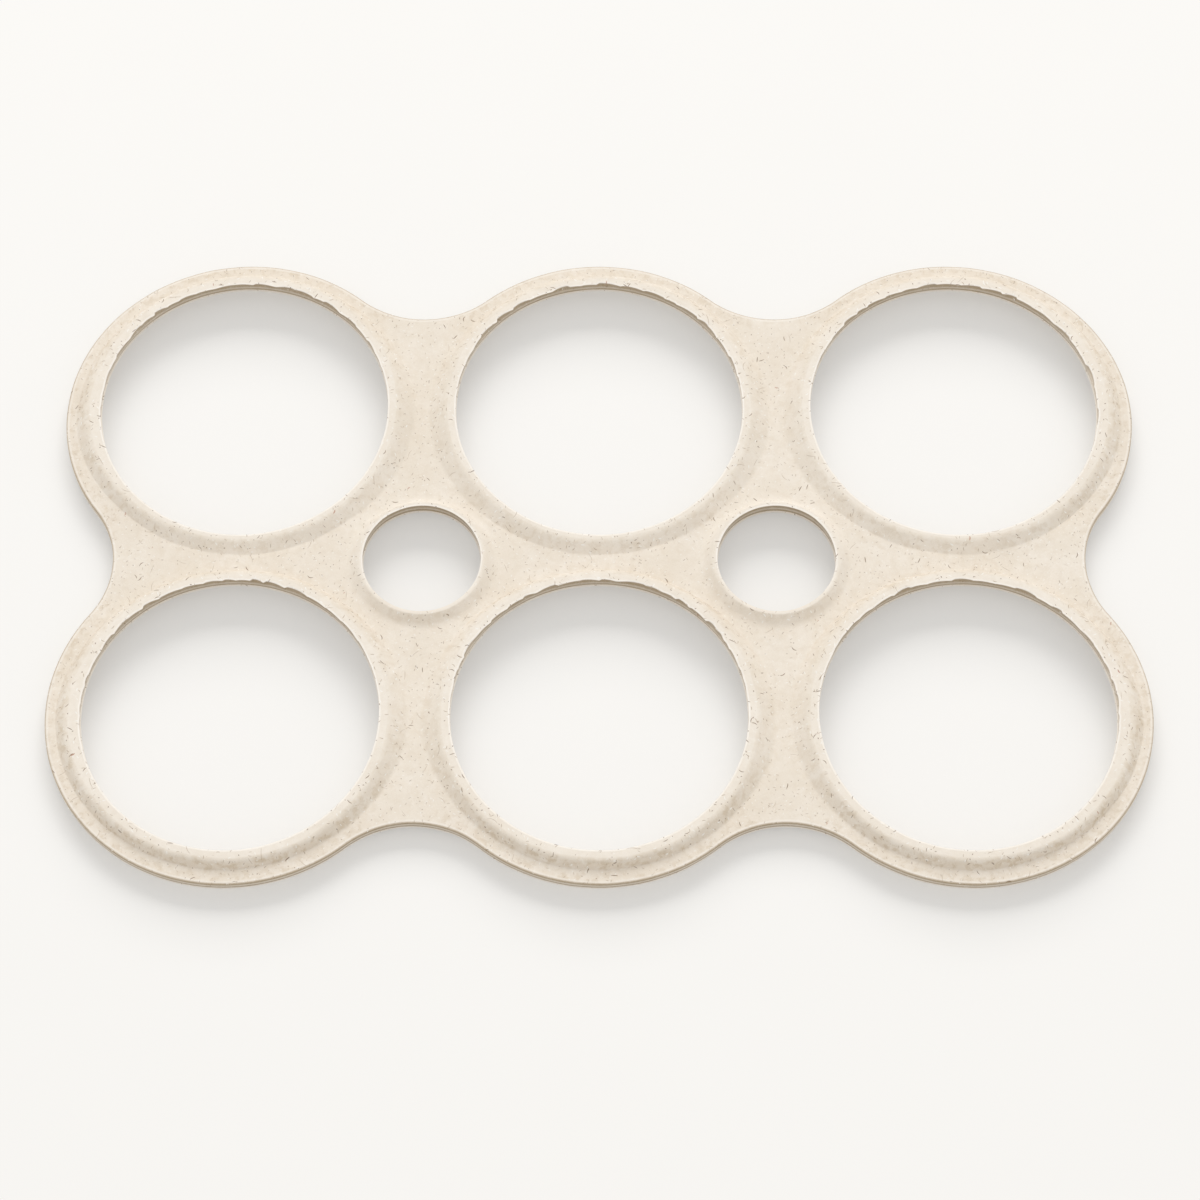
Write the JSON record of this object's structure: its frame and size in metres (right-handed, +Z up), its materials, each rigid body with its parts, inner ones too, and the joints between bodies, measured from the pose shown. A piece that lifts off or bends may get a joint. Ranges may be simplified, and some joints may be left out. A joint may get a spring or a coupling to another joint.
{
  "type": "six-pack can carrier",
  "caption": "Lobed sheet of moulded fibre that grips beverage cans by the neck: open round can holes with raised, hollow-backed lips, and smaller finger holes between them for lifting.",
  "frame": {"origin": "middle of the flat underside", "axes": "+X along the three columns of can holes, +Y across the two rows, +Z up, out of the lips' tops"},
  "size_m": [0.1974, 0.1274, 0.0044],
  "materials": {
    "moulded_fibre": "matte"
  },
  "bodies": {
    "root": {"carrier_sheet": "moulded_fibre"}
  },
  "joints": []
}
